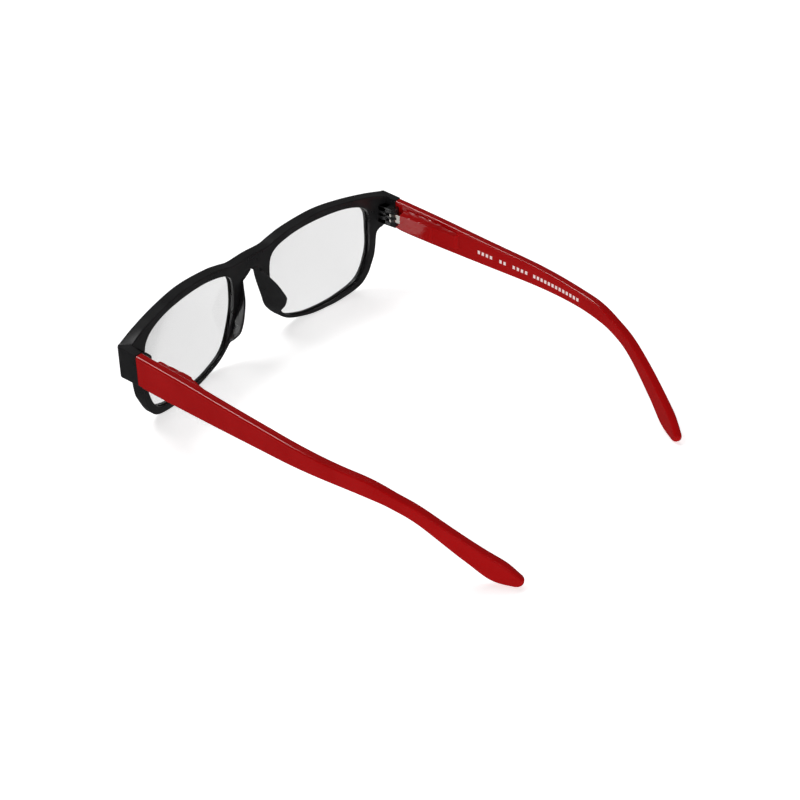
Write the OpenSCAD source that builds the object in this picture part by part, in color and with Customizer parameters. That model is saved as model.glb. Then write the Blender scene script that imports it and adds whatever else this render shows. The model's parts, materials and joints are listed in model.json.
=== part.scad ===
// Folding reading glasses: a moulded front, two spring-hinged temples and two lenses.
// X runs across the face, the temples run along +Y and Z is up.
// Left is the wearer's left, +X. The glasses stand open on a table: the lower rims
// and the temple tips touch Z = 0, and the origin is the middle of that footprint.

/* [Front] */
// Thickness of the front at the bottom of the rims
rim_t = 3.6; // [3.2:0.1:5]
// Extra thickness of the front at its top edge
brow_extra_t = 1.0; // [0:0.1:2]
// Radius of the front's wrap around the face, seen from above
wrap_r = 271; // [220:1:400]
// Distance from the hinge line to the foremost point of the front
front_depth = 17.2; // [14:0.1:24]
// How far the bridge's top lies below the front's highest point
bridge_drop = 3.4; // [2:0.1:9]
// Height of the bridge itself at the middle
bridge_h = 5.4; // [4:0.1:8]

/* [Lenses] */
// Width of one lens opening
lens_w = 48.5; // [40:0.1:59]
// Height of one lens opening
lens_h = 37.6; // [30:0.1:46]
// Gap between the two lens openings
bridge_w = 19.2; // [16:0.1:24]
// Rim below the lens
rim_bottom = 1.8; // [1.2:0.1:4]
// Rim above the lens
rim_top = 2.8; // [2:0.1:6]
// Rim at the outer side of the lens
rim_side = 4.2; // [3:0.1:6]
// Radius of the lens's front surface
lens_front_r = 150; // [120:1:400]
// Radius of the lens's rear surface
lens_rear_r = 277; // [150:1:600]
// Thickness in the middle of the lens
lens_t = 2.6; // [1.8:0.1:2.8]
// Depth of the groove that holds the lens
groove_depth = 0.7; // [0.4:0.05:1]

/* [Temples] */
// Length of a temple along Y, from the hinge line to its tip
temple_l = 137.4; // [110:0.1:160]
// Thickness of a temple
temple_t = 3.0; // [2.8:0.1:4]
// Height of a temple at the hinge
temple_root_h = 11.2; // [11:0.1:14]
// Height of the thin part of a temple in front of the ear
temple_waist_h = 5.4; // [4.5:0.1:8]
// Distance from the hinge line to where the temple starts to turn in
toe_start = 59; // [40:1:80]
// Radius of the turn towards the head, seen from above
toe_r = 152; // [120:1:260]
// Distance from the tip to where the temple drops behind the ear
drop_l = 45.8; // [36:0.1:55]

/* [Spring hinge] */
// How far the hinge's middle lies below the front's highest point
hinge_drop = 10.8; // [9.6:0.1:13]
// Distance from the outer face of the temple in to the screw's axis
axis_inset = 4.3; // [4.2:0.1:5]
// Radius of the hinge's knuckles
knuckle_r = 1.9; // [1.7:0.05:2.1]
// Thickness of the upper and lower knuckles
end_knuckle_t = 1.8; // [1.6:0.1:2]
// Thickness of the middle knuckle
mid_knuckle_t = 1.0; // [0.8:0.1:1.2]
// Thickness of each eye of the metal tongue
eye_t = 1.1; // [0.9:0.05:1.2]
// Radius of the hinge screw's shank
screw_r = 0.7; // [0.6:0.05:0.8]
// Radius of the hinge screw's head
screw_head_r = 1.2; // [1.1:0.05:1.4]
// Thickness of the metal tongue
tongue_t = 1.7; // [1.5:0.1:1.8]
// Radius of the rod that carries the spring
rod_r = 0.4; // [0.3:0.05:0.45]
// Length of the metal housing inside the temple
housing_l = 12; // [11:0.5:14]
// Wall of the metal housing
housing_wall = 0.3; // [0.2:0.05:0.35]

/* [Hidden] */
$fn = 64;

// Clearances: a lens in its groove, a turning fit, a sliding fit, a shut line.
lens_gap = 0.05;
turn_gap = 0.04;
slide_gap = 0.10;
shut_gap = 0.20;
press_gap = 0.02;
big = 400;

// Endpieces, groove and pads of the front.
endpiece_w = 5.6;
end_below = 5.8;
end_above = 6.4;
end_fall = 0.5;
end_wall_t = 3.0;
lens_set = 0.3;
pad_t = 2.2;
pad_slope = 17;
pad_splay = 26;

// Places that several pieces share.
lens_x = (bridge_w + lens_w) / 2;
lens_z = rim_bottom + lens_h / 2;
front_h = rim_bottom + lens_h + rim_top;
bridge_top_h = front_h - bridge_drop;
bridge_under_h = bridge_top_h - bridge_h;
hinge_h = front_h - hinge_drop;
half_w = lens_x + lens_w / 2 + rim_side + endpiece_w;
origin_y = (temple_l - front_depth) / 2;
axis_x = half_w - axis_inset;
wrap_y = wrap_r - front_depth;
tilt = asin(lens_x / wrap_r);

// Stack of knuckles and eyes, from the bottom up, and the head of the screw.
screw_head_t = 0.9;
slot_w = 0.4;
stack_h = 2 * end_knuckle_t + mid_knuckle_t + 2 * eye_t + 4 * turn_gap;
stack_z = hinge_h - stack_h / 2;
low_eye_z = stack_z + end_knuckle_t + turn_gap;
mid_z = low_eye_z + eye_t + turn_gap;
high_eye_z = mid_z + mid_knuckle_t + turn_gap;
top_z = high_eye_z + eye_t + turn_gap;
swing_r = knuckle_r + shut_gap;

// The tongue, its housing and the spring inside the temple. The spring fills the
// room between the rod and the housing, apart from a small gap on either side.
tongue_show = 2.2;
tongue_grip = 3.6;
slide_room = 1.2;
tongue_h = 2 * eye_t + mid_knuckle_t + 2 * turn_gap;
tongue_y = swing_r;
housing_y = swing_r + tongue_show;
tongue_end_y = housing_y + tongue_grip;
stop_y = tongue_end_y + slide_room;
stop_t = 0.8;
nut_t = 1.0;
nut_y = housing_y + housing_l - 2 * nut_t;
spring_gap = 0.15;
wire_r = (tongue_t / 2 - rod_r - spring_gap) / 2;
spring_r = rod_r + spring_gap + wire_r;
spring_turns = 7;
housing_w = tongue_t + 2 * (slide_gap + housing_wall);
housing_h = tongue_h + 2 * (slide_gap + housing_wall);
box_wall = 0.7;
box_tail = 1.9;
box_slope = 0.5;
fade_l = 11;
fade_rise = 1.2;
fade_fall = 1.6;
fade_round = 0.8;
box_in = housing_w / 2 + press_gap + box_wall;
box_half_h = housing_h / 2 + press_gap + box_wall;
box_end_y = housing_y + housing_l + box_tail;
fade_end_y = box_end_y + fade_l;

// Smooth curves: a Catmull-Rom spline through points, in `steps` pieces per span.
steps = 5;
function blend(a, b, c, d, t) =
  0.5 * (2 * b + (c - a) * t + (2 * a - 5 * b + 4 * c - d) * t * t
    + (3 * b - a - 3 * c + d) * t * t * t);
function loop_curve(p) = let (n = len(p))
  [for (i = [0:n - 1], k = [0:steps - 1])
    blend(p[(i + n - 1) % n], p[i], p[(i + 1) % n], p[(i + 2) % n], k / steps)];
function open_curve(p) = let (n = len(p))
  [for (i = [0:n - 2], k = [0:steps - 1])
    blend(p[max(i - 1, 0)], p[i], p[i + 1], p[min(i + 2, n - 1)], k / steps), p[n - 1]];
// A closed outline moved outwards by d, point by point along its normals.
function unit(v) = v / norm(v);
function grow(p, d) = let (n = len(p))
  [for (i = [0:n - 1]) let (v = unit(p[(i + 1) % n] - p[(i + n - 1) % n]))
    p[i] + d * [v[1], -v[0]]];

// Lens outline in half widths and half heights, anticlockwise from the outer side.
LENS_SHAPE = [
  [1, 0.22], [0.94, 0.72], [0.60, 0.94], [0, 1], [-0.58, 0.94], [-0.95, 0.74],
  [-1, 0.23], [-0.91, -0.27], [-0.72, -0.73], [-0.37, -0.94], [0, -1],
  [0.40, -0.96], [0.80, -0.77], [0.98, -0.28]
];
function lens_outline() = loop_curve([for (p = LENS_SHAPE)
  [lens_x + p[0] * lens_w / 2, lens_z + p[1] * lens_h / 2]]);

// Half of the front's outline: top edge, endpiece, outer rim, lower rim, nose.
lens_in = bridge_w / 2;
lens_out = lens_in + lens_w;
end_low = hinge_h - end_below;
end_high = hinge_h + end_above;
TOP_EDGE = [
  [-8, bridge_top_h - 0.2], [0, bridge_top_h], [8, bridge_top_h - 0.2],
  [lens_in + 3.6, bridge_top_h + 0.9], [lens_x - 0.58 * lens_w / 2, front_h - 1.2],
  [lens_x, front_h],
  [lens_x + 0.5 * lens_w / 2, front_h - 0.8], [lens_out, front_h - 2.5],
  [half_w, end_high]
];
LOW_EDGE = [
  [lens_out + rim_side, lens_z + 1.6], [lens_out + rim_side - 0.6, lens_z - 4],
  [lens_out + 2.2, lens_z - 0.45 * lens_h / 2], [lens_out - 3.4, rim_bottom + 1.7],
  [lens_out - 13.5, 0.4], [lens_x, 0], [lens_x - 8, rim_bottom - 0.5],
  [lens_in + 7.6, rim_bottom + 2.8], [lens_in + 0.7, lens_z - 0.49 * lens_h / 2],
  [lens_in - 1.6, lens_z - 2.8], [lens_in - 3.8, lens_z + 4.5],
  [lens_in - 4.7, bridge_under_h - 4], [lens_in - 5.5, bridge_under_h - 1.2],
  [lens_in - 7.2, bridge_under_h - 0.1], [0, bridge_under_h]
];
function right_of_middle(p) = [for (q = p) if (q[0] > 0.001) q];
function half_front() = concat(
  [[0, bridge_top_h]], right_of_middle(open_curve(TOP_EDGE)),
  [[half_w, end_low], [lens_out + rim_side + 1.4, end_low - 1]],
  open_curve(LOW_EDGE));

// Draw a child that lies in the XY plane as an upright sheet in XZ, from y0 to y1.
module upright(y0, y1) {
  translate([0, y1, 0]) rotate([90, 0, 0]) linear_extrude(y1 - y0) children();
}
// Draw a child whose points are (y, z) as a slab along X, from x0 to x1.
module sideways(x0, x1) {
  translate([x0, 0, 0]) rotate([90, 0, 90]) linear_extrude(x1 - x0) children();
}
// A standing cylinder on the hinge axis.
module on_axis(r, z, h) {
  translate([axis_x, 0, z]) cylinder(r = r, h = h);
}
// Move the open glasses so that the origin is the middle of their footprint.
module placed() {
  translate([0, -origin_y, 0]) children();
}
module right_side() {
  mirror([1, 0, 0]) children();
}

// Space between the front face and the rear face, which leans back at the top.
lean = atan(brow_extra_t / front_h);
module wrap_band() {
  difference() {
    translate([0, wrap_y, 0]) cylinder(r = wrap_r, h = big, $fn = 360);
    translate([0, wrap_y, 0]) rotate([-lean, 0, 0])
      translate([0, 0, -big / 2]) cylinder(r = wrap_r - rim_t, h = big, $fn = 360);
  }
}

// Lens body; margin makes the slightly larger groove that it sits in.
lens_front_y = wrap_y - sqrt(wrap_r * wrap_r - lens_x * lens_x) + lens_set;
module lens_body(margin) {
  intersection() {
    upright(-30, 10) polygon(grow(lens_outline(), groove_depth + margin));
    translate([lens_x, lens_front_y, lens_z]) rotate([0, 0, tilt]) difference() {
      translate([0, lens_front_r, 0]) sphere(r = lens_front_r + margin, $fn = 400);
      translate([0, lens_t + lens_rear_r, 0]) sphere(r = lens_rear_r - margin, $fn = 400);
    }
  }
}

// Moulded nose pad: a slanting leaf that grows rearwards out of the nasal rim.
pad_y = wrap_y - wrap_r + rim_t;
PAD_SIDE = [
  [-2.5, 10.4], [0.6, 9.6], [2.4, 7.4], [4.8, 4], [5.9, 0.6], [6.5, -3.7],
  [5.3, -7.6], [2.2, -11.2], [-2.5, -12.6]
];
module nose_pad() {
  intersection() {
    translate([0, pad_y, lens_z + 1]) sideways(0, lens_x) polygon(open_curve(PAD_SIDE));
    translate([lens_in, pad_y, lens_z - 3]) rotate([0, -pad_slope, 0])
      rotate([0, 0, -pad_splay]) translate([-pad_t, -10, -30]) cube([pad_t, 30, 60]);
  }
}

// Endpiece wall and the block that carries the three black knuckles.
module endpiece() {
  join_y = wrap_y - sqrt(wrap_r * wrap_r - axis_x * axis_x) + rim_t / 2;
  sideways(half_w - end_wall_t, half_w)
    polygon([[join_y, end_low], [-shut_gap / 2, end_low], [-shut_gap / 2, end_high - end_fall],
      [join_y, end_high]]);
  translate([axis_x - knuckle_r, join_y, stack_z])
    cube([half_w - axis_x, -join_y, stack_h]);
  on_axis(knuckle_r, stack_z, stack_h);
}
module knuckle_slots() {
  for (z = [low_eye_z - turn_gap, high_eye_z - turn_gap]) {
    on_axis(swing_r, z, eye_t + 2 * turn_gap);
    translate([axis_x - 2 * swing_r, -swing_r, z])
      cube([2 * swing_r, 2 * swing_r, eye_t + 2 * turn_gap]);
  }
}

module front_half() {
  difference() {
    union() {
      intersection() {
        upright(-60, 20) polygon(half_front());
        wrap_band();
      }
      nose_pad();
      endpiece();
    }
    upright(-60, 20) polygon(lens_outline());
    lens_body(lens_gap);
    knuckle_slots();
    on_axis(screw_r + turn_gap, stack_z - 1, stack_h + 2);
    on_axis(screw_head_r + turn_gap, stack_z + stack_h - screw_head_t, 5);
  }
}
module front_frame() {
  color([0.06, 0.06, 0.065]) placed() {
    front_half();
    right_side() front_half();
  }
}

module lens() {
  color([0.85, 0.9, 0.92, 0.35]) lens_body(0);
}
module left_lens() { placed() lens(); }
module right_lens() { placed() right_side() lens(); }

// Temple seen from the side, as (y, z) points along its top and bottom edges.
// It runs level to drop_y, then bends down by ear_h to the tip.
root_low = hinge_h - 5.4;
root_high = root_low + temple_root_h;
drop_y = temple_l - drop_l;
ear_h = hinge_h - 6.9;
waist_high = ear_h + temple_waist_h;
TIP_R = 2.2;
TEMPLE_TOP = [
  [shut_gap / 2, root_high], [0.22 * drop_y, root_high - 1.4],
  [0.44 * drop_y, root_high - 3.2], [0.66 * drop_y, root_high - 4.8],
  [0.88 * drop_y, waist_high + 0.5], [drop_y, waist_high - 0.7],
  [drop_y + 0.19 * drop_l, waist_high - 0.14 * ear_h],
  [drop_y + 0.375 * drop_l, waist_high - 0.28 * ear_h],
  [drop_y + 0.665 * drop_l, 0.605 * ear_h], [temple_l - 6.4, 0.37 * ear_h],
  [temple_l - 0.8, 3.9]
];
TEMPLE_LOW = [
  [temple_l - 2.4, 0], [temple_l - 8.6, 1.4], [drop_y + 0.665 * drop_l, 0.29 * ear_h],
  [drop_y + 0.375 * drop_l, 0.71 * ear_h], [drop_y + 0.19 * drop_l, 0.87 * ear_h],
  [drop_y, 0.945 * ear_h], [0.88 * drop_y, ear_h - 0.4], [0.66 * drop_y, root_low - 1.5],
  [0.44 * drop_y, root_low - 1.4], [0.22 * drop_y, root_low - 1.2], [4.6, root_low - 0.8]
];
module temple_side() {
  polygon(concat(open_curve(TEMPLE_TOP), open_curve(TEMPLE_LOW),
    [[shut_gap / 2, root_low - 0.2]]));
  translate([temple_l - TIP_R, TIP_R]) circle(r = TIP_R);
}
// Temple seen from above: a straight stretch, then an arc towards the head.
module temple_plan() {
  translate([half_w - temple_t, 0]) square([temple_t, toe_start]);
  intersection() {
    translate([half_w - toe_r, toe_start]) difference() {
      circle(r = toe_r, $fn = 360);
      circle(r = toe_r - temple_t, $fn = 360);
    }
    translate([0, toe_start]) square([half_w, temple_l]);
  }
}
// Raised box on the inner face, which holds the spring and thins out behind it.
module temple_box() {
  box_x = axis_x - box_in;
  face_x = half_w - temple_t + 0.2;
  intersection() {
    sideways(box_x, half_w) temple_side();
    upright(housing_y, fade_end_y) polygon([
      [face_x, hinge_h + box_half_h + box_slope], [box_x, hinge_h + box_half_h],
      [box_x, hinge_h - box_half_h - 0.4], [box_x + 0.6, hinge_h - box_half_h - 1],
      [face_x, hinge_h - box_half_h - 1.6]]);
    linear_extrude(big) polygon([
      [face_x, housing_y], [box_x, housing_y], [box_x, box_end_y],
      [box_x + 0.5, box_end_y + 0.6], [face_x - fade_rise, fade_end_y - fade_round],
      [face_x, fade_end_y]]);
    sideways(box_x, half_w) polygon([
      [housing_y, 0], [housing_y, big], [box_end_y - box_tail, big],
      [box_end_y - box_tail, hinge_h + box_half_h + box_slope],
      [fade_end_y, hinge_h + box_half_h + box_slope - fade_fall], [fade_end_y, 0]]);
  }
}
module housing_space(margin) {
  translate([axis_x, housing_y, hinge_h]) {
    translate([-housing_w / 2 - margin, -margin, -housing_h / 2 - margin])
      cube([housing_w + 2 * margin, housing_l + 2 * margin, housing_h + 2 * margin]);
  }
}
module temple() {
  color([0.66, 0.02, 0.03]) difference() {
    union() {
      intersection() {
        sideways(0, half_w + 1) temple_side();
        linear_extrude(big) temple_plan();
      }
      temple_box();
    }
    on_axis(swing_r, stack_z - shut_gap, stack_h + 2 * shut_gap);
    housing_space(press_gap);
    translate([axis_x - housing_w / 2, 0, hinge_h - tongue_h / 2 - slide_gap])
      cube([housing_w, housing_y, tongue_h + 2 * slide_gap]);
  }
}
module left_temple() { placed() temple(); }
module right_temple() { placed() right_side() temple(); }

// Hinge screw: slotted head in the upper knuckle, shank down to the lower one.
module hinge_screw() {
  color([0.75, 0.75, 0.77]) difference() {
    union() {
      on_axis(screw_r, stack_z, stack_h - screw_head_t);
      on_axis(screw_head_r, stack_z + stack_h - screw_head_t, screw_head_t);
    }
    translate([axis_x - big / 2, -slot_w / 2, stack_z + stack_h - slot_w])
      cube([big, slot_w, 2 * slot_w]);
  }
}
module left_hinge_screw() { placed() hinge_screw(); }
module right_hinge_screw() { placed() right_side() hinge_screw(); }

// Metal tongue: two eyes on the screw, a flat block in the housing, a rod behind.
module hinge_tongue() {
  color([0.72, 0.72, 0.74]) difference() {
    union() {
      for (z = [low_eye_z, high_eye_z]) {
        on_axis(knuckle_r, z, eye_t);
        translate([axis_x - tongue_t / 2, 0, z]) cube([tongue_t, tongue_y + 1, eye_t]);
      }
      translate([axis_x - tongue_t / 2, tongue_y, hinge_h - tongue_h / 2])
        cube([tongue_t, tongue_end_y - tongue_y, tongue_h]);
      translate([axis_x, tongue_end_y, hinge_h]) rotate([-90, 0, 0])
        cylinder(r = rod_r, h = nut_y + nut_t - tongue_end_y);
    }
    on_axis(screw_r + turn_gap, stack_z, stack_h);
  }
}
module left_hinge_tongue() { placed() hinge_tongue(); }
module right_hinge_tongue() { placed() right_side() hinge_tongue(); }

// Metal housing: a square tube, pressed into the pocket of the temple's box.
module spring_housing() {
  color([0.62, 0.62, 0.64]) difference() {
    housing_space(0);
    translate([axis_x - tongue_t / 2 - slide_gap, housing_y - 1,
      hinge_h - tongue_h / 2 - slide_gap])
      cube([tongue_t + 2 * slide_gap, housing_l + 2, tongue_h + 2 * slide_gap]);
  }
}
module left_spring_housing() { placed() spring_housing(); }
module right_spring_housing() { placed() right_side() spring_housing(); }

// Stop plate: pressed across the housing, the rod slides through it.
module stop_plate() {
  plate_w = tongue_t + 2 * (slide_gap - press_gap);
  plate_h = tongue_h + 2 * (slide_gap - press_gap);
  color([0.5, 0.5, 0.52]) difference() {
    translate([axis_x - plate_w / 2, stop_y, hinge_h - plate_h / 2])
      cube([plate_w, stop_t, plate_h]);
    translate([axis_x, stop_y - 1, hinge_h]) rotate([-90, 0, 0])
      cylinder(r = rod_r + turn_gap, h = stop_t + 2);
  }
}
module left_stop_plate() { placed() stop_plate(); }
module right_stop_plate() { placed() right_side() stop_plate(); }

// Compression spring between the stop plate and the nut, as a stack of closed coils.
module spring() {
  first = stop_y + stop_t + wire_r + press_gap;
  last = nut_y - wire_r - press_gap;
  color([0.8, 0.8, 0.82]) for (i = [0:spring_turns - 1])
    translate([axis_x, first + i * (last - first) / (spring_turns - 1), hinge_h])
      rotate([-90, 0, 0]) rotate_extrude() translate([spring_r, 0]) circle(r = wire_r, $fn = 16);
}
module left_spring() { placed() spring(); }
module right_spring() { placed() right_side() spring(); }

// Round nut on the end of the rod, which the spring pushes back.
module rod_nut() {
  color([0.7, 0.68, 0.6]) translate([axis_x, nut_y, hinge_h]) rotate([-90, 0, 0])
    difference() {
      cylinder(r = tongue_t / 2, h = nut_t);
      translate([0, 0, -1]) cylinder(r = rod_r + press_gap, h = nut_t + 2);
    }
}
module left_rod_nut() { placed() rod_nut(); }
module right_rod_nut() { placed() right_side() rod_nut(); }

front_frame();
left_lens();
right_lens();
left_temple();
right_temple();
left_hinge_screw();
right_hinge_screw();
left_hinge_tongue();
right_hinge_tongue();
left_spring_housing();
right_spring_housing();
left_stop_plate();
right_stop_plate();
left_spring();
right_spring();
left_rod_nut();
right_rod_nut();
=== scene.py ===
# %% [markdown]
# # Folding reading glasses
# The glasses stand open on a table: a black moulded front with clear lenses, and two
# slim red temples on spring hinges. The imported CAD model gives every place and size.
# Here each visible surface is worked out again, smooth and with rounded edges, because
# moulded plastic has no sharp corners and its thin bright edge lines come from them.

# %% Load the frame
import json
import math

import bmesh
import bpy
import numpy as np
from mathutils import Matrix, Vector


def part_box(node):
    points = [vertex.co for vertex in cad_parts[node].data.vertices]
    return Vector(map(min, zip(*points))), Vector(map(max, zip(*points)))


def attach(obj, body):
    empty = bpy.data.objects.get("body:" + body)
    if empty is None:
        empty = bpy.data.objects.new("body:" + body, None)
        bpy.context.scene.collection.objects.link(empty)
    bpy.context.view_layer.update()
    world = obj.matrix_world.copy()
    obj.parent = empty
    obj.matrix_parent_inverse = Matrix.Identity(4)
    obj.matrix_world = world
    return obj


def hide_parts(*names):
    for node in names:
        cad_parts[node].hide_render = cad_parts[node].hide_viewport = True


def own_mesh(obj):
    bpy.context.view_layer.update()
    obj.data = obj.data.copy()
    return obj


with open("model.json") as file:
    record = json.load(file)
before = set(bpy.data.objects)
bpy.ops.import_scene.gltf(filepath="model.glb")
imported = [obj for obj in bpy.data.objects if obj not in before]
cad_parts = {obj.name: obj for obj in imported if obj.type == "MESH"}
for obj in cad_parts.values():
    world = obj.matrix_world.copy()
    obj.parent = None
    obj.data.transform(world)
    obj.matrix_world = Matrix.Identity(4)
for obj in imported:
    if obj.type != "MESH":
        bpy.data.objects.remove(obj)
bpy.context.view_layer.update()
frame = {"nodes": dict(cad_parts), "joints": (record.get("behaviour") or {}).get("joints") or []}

MM = 0.001
joints = {j["name"]: j for j in frame["joints"]}
hinge = np.array(joints["left_fold"]["pos_m"]) / MM
print("hinge axis (mm):", hinge.round(2))


def node_box(name):
    """Lowest and highest corner of a CAD node in mm, with y counted from the hinge line."""
    low, high = (np.array(corner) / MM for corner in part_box(name))
    return low - [0, hinge[1], 0], high - [0, hinge[1], 0]


# %% [markdown]
# ## Camera
# The view is from behind, above and to the wearer's left, so both temples run towards
# the viewer. A long lens keeps the two halves of the glasses close to the same size.

# %% Camera
AIM = np.array([5.2, 57.7 + hinge[1], 11.2]) * MM
AZIMUTH, ELEVATION, ROLL = math.radians(128.2), math.radians(35.28), math.radians(0.25)
DISTANCE = 537.3 * MM
FOCAL_LENGTH = 72.45


def make_camera():
    """Camera at azimuth, elevation and distance from the aim point, looking at it."""
    back = np.array([math.sin(AZIMUTH) * math.cos(ELEVATION),
                     -math.cos(AZIMUTH) * math.cos(ELEVATION), math.sin(ELEVATION)])
    level = np.array([math.cos(AZIMUTH), math.sin(AZIMUTH), 0])
    rise = np.cross(back, level)
    right = level * math.cos(ROLL) + rise * math.sin(ROLL)
    up = np.cross(back, right)
    camera = bpy.data.objects.new("camera", bpy.data.cameras.new("camera"))
    bpy.context.scene.collection.objects.link(camera)
    camera.data.lens = FOCAL_LENGTH
    camera.data.clip_start = 0.01
    matrix = np.eye(4)
    matrix[:3, :3] = np.column_stack([right, up, back])
    matrix[:3, 3] = AIM + back * DISTANCE
    camera.matrix_world = Matrix(matrix.tolist())
    bpy.context.scene.camera = camera
    return camera


camera = make_camera()
print("camera at (mm):", (np.array(camera.matrix_world.translation) / MM).round(1))

# %% [markdown]
# ## Materials
# Every finish is built from nodes. Colours are given as sRGB hex values, as a paint
# chart does, and one function turns them to the linear values that a shader needs.

# %% Helpers for materials


def colour(hex_text):
    """sRGB hex to linear RGBA: each channel through the sRGB curve."""
    channels = [int(hex_text[i:i + 2], 16) / 255 for i in (1, 3, 5)]
    return [c / 12.92 if c <= 0.04045 else ((c + 0.055) / 1.055) ** 2.4 for c in channels] + [1]


def node(material, kind, settings=(), links=()):
    """Adds a node; settings are (socket or property, value), links are (socket, output)."""
    made = material.node_tree.nodes.new(kind)
    for name, value in settings:
        if isinstance(name, str) and hasattr(made, name):
            setattr(made, name, value)
        else:
            made.inputs[name].default_value = value
    for name, output in links:
        material.node_tree.links.new(output, made.inputs[name])
    return made


def new_material(name):
    """A new node material, its Principled shader and its Object coordinates."""
    material = bpy.data.materials.new(name)
    material.use_nodes = True
    shader = material.node_tree.nodes["Principled BSDF"]
    place = node(material, "ShaderNodeTexCoord").outputs["Object"]
    return material, shader, place


def join(material, shader, socket, output):
    """Leads a node's output into a socket of the shader."""
    material.node_tree.links.new(output, shader.inputs[socket])


def blotches(size):
    """Noise scale for blotches of this size in mm: one over the size in metres."""
    return 1 / (size * MM)


# %% [markdown]
# The front is injection-moulded polycarbonate, polished in the mould but lightly worn:
# dark, with a soft grey sheen on its faces. The grain is under 0.1 mm on the real one,
# so it is drawn at 0.3 mm to show at all.

# %% Black front plastic


def moulded_black():
    """Near-black plastic: 6 mm clouds vary tone and gloss, 0.3 mm grain roughens it."""
    material, shader, place = new_material("moulded_polycarbonate_black")
    mist = node(material, "ShaderNodeTexNoise", [("Scale", blotches(6.25)), ("Detail", 3.0)],
                [("Vector", place)])
    tone = node(material, "ShaderNodeValToRGB", [], [("Fac", mist.outputs["Fac"])])
    tone.color_ramp.elements[0].position = 0.35
    tone.color_ramp.elements[0].color = colour("#171718")
    tone.color_ramp.elements[1].position = 0.65
    tone.color_ramp.elements[1].color = colour("#1e1e1f")
    join(material, shader, "Base Color", tone.outputs["Color"])
    haze = node(material, "ShaderNodeMapRange",
                [("To Min", 0.24), ("To Max", 0.34)], [("Value", mist.outputs["Fac"])])
    join(material, shader, "Roughness", haze.outputs["Result"])
    grain = node(material, "ShaderNodeTexNoise", [("Scale", blotches(0.3)), ("Detail", 2.0)],
                 [("Vector", place)])
    bump = node(material, "ShaderNodeBump", [("Strength", 0.04), ("Distance", 0.00002)],
                [("Height", grain.outputs["Fac"])])
    join(material, shader, "Normal", bump.outputs["Normal"])
    shader.inputs["IOR"].default_value = 1.58
    shader.inputs["Coat Weight"].default_value = 0.25
    shader.inputs["Coat Roughness"].default_value = 0.08
    return material


black = moulded_black()

# %% [markdown]
# The temples are the same kind of plastic, coloured right through in a deep red and
# glossy. Moulded gloss is never perfectly flat: a slow waviness of a few millimetres
# bends the reflections, and finger haze varies the roughness.

# %% Red temple plastic


def moulded_red():
    """Deep red plastic: 11 mm clouds vary tone and gloss, 4 mm waves bend reflections."""
    material, shader, place = new_material("moulded_polycarbonate_red")
    cloud = node(material, "ShaderNodeTexNoise", [("Scale", blotches(11.1)), ("Detail", 2.0)],
                 [("Vector", place)])
    tone = node(material, "ShaderNodeValToRGB", [], [("Fac", cloud.outputs["Fac"])])
    tone.color_ramp.elements[0].position = 0.3
    tone.color_ramp.elements[0].color = colour("#a30002")
    tone.color_ramp.elements[1].position = 0.7
    tone.color_ramp.elements[1].color = colour("#ab0103")
    join(material, shader, "Base Color", tone.outputs["Color"])
    haze = node(material, "ShaderNodeMapRange",
                [("To Min", 0.10), ("To Max", 0.18)], [("Value", cloud.outputs["Fac"])])
    join(material, shader, "Roughness", haze.outputs["Result"])
    wave = node(material, "ShaderNodeTexNoise", [("Scale", blotches(3.85)), ("Detail", 1.0)],
                [("Vector", place)])
    bump = node(material, "ShaderNodeBump", [("Strength", 0.15), ("Distance", 0.00004)],
                [("Height", wave.outputs["Fac"])])
    join(material, shader, "Normal", bump.outputs["Normal"])
    shader.inputs["IOR"].default_value = 1.5
    shader.inputs["Coat Weight"].default_value = 0.3
    shader.inputs["Coat Roughness"].default_value = 0.05
    return material


red = moulded_red()

# %% [markdown]
# The lenses are clear cast acrylic, polished on both faces, with a hard coat. They bend
# light a little (IOR 1.49) and take some of it away, so white looks pale grey through them.

# %% Lens plastic


def cast_acrylic():
    """Clear plastic that passes light, with a faint film of uneven roughness."""
    material, shader, place = new_material("cast_acrylic_clear")
    film = node(material, "ShaderNodeTexNoise", [("Scale", blotches(16.7)), ("Detail", 1.0)],
                [("Vector", place)])
    haze = node(material, "ShaderNodeMapRange",
                [("To Min", 0.0), ("To Max", 0.012)], [("Value", film.outputs["Fac"])])
    join(material, shader, "Roughness", haze.outputs["Result"])
    shader.inputs["Base Color"].default_value = colour("#dddddd")
    shader.inputs["Transmission Weight"].default_value = 1.0
    shader.inputs["IOR"].default_value = 1.49
    return material


acrylic = cast_acrylic()

# %% [markdown]
# The hinge parts are small steel pieces: the tongue and the screw are nickel plated and
# bright, the housing and the stop plate are pressed from stainless strip, and the spring
# is drawn wire. Drawn and pressed metal carries fine lines along the way it was worked.

# %% Hinge metals


def worked_steel(name, light, dark, roughness, lines_per_mm, stretch):
    """Steel with fine lines: noise squeezed across the working direction."""
    material, shader, place = new_material(name)
    squeeze = node(material, "ShaderNodeMapping", [("Scale", stretch)], [("Vector", place)])
    lines = node(material, "ShaderNodeTexNoise",
                 [("Scale", lines_per_mm / MM), ("Detail", 2.0)],
                 [("Vector", squeeze.outputs["Vector"])])
    tone = node(material, "ShaderNodeValToRGB", [], [("Fac", lines.outputs["Fac"])])
    tone.color_ramp.elements[0].color = colour(dark)
    tone.color_ramp.elements[1].color = colour(light)
    join(material, shader, "Base Color", tone.outputs["Color"])
    haze = node(material, "ShaderNodeMapRange",
                [("To Min", roughness), ("To Max", roughness + 0.12)],
                [("Value", lines.outputs["Fac"])])
    join(material, shader, "Roughness", haze.outputs["Result"])
    shader.inputs["Metallic"].default_value = 1.0
    return material


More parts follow.
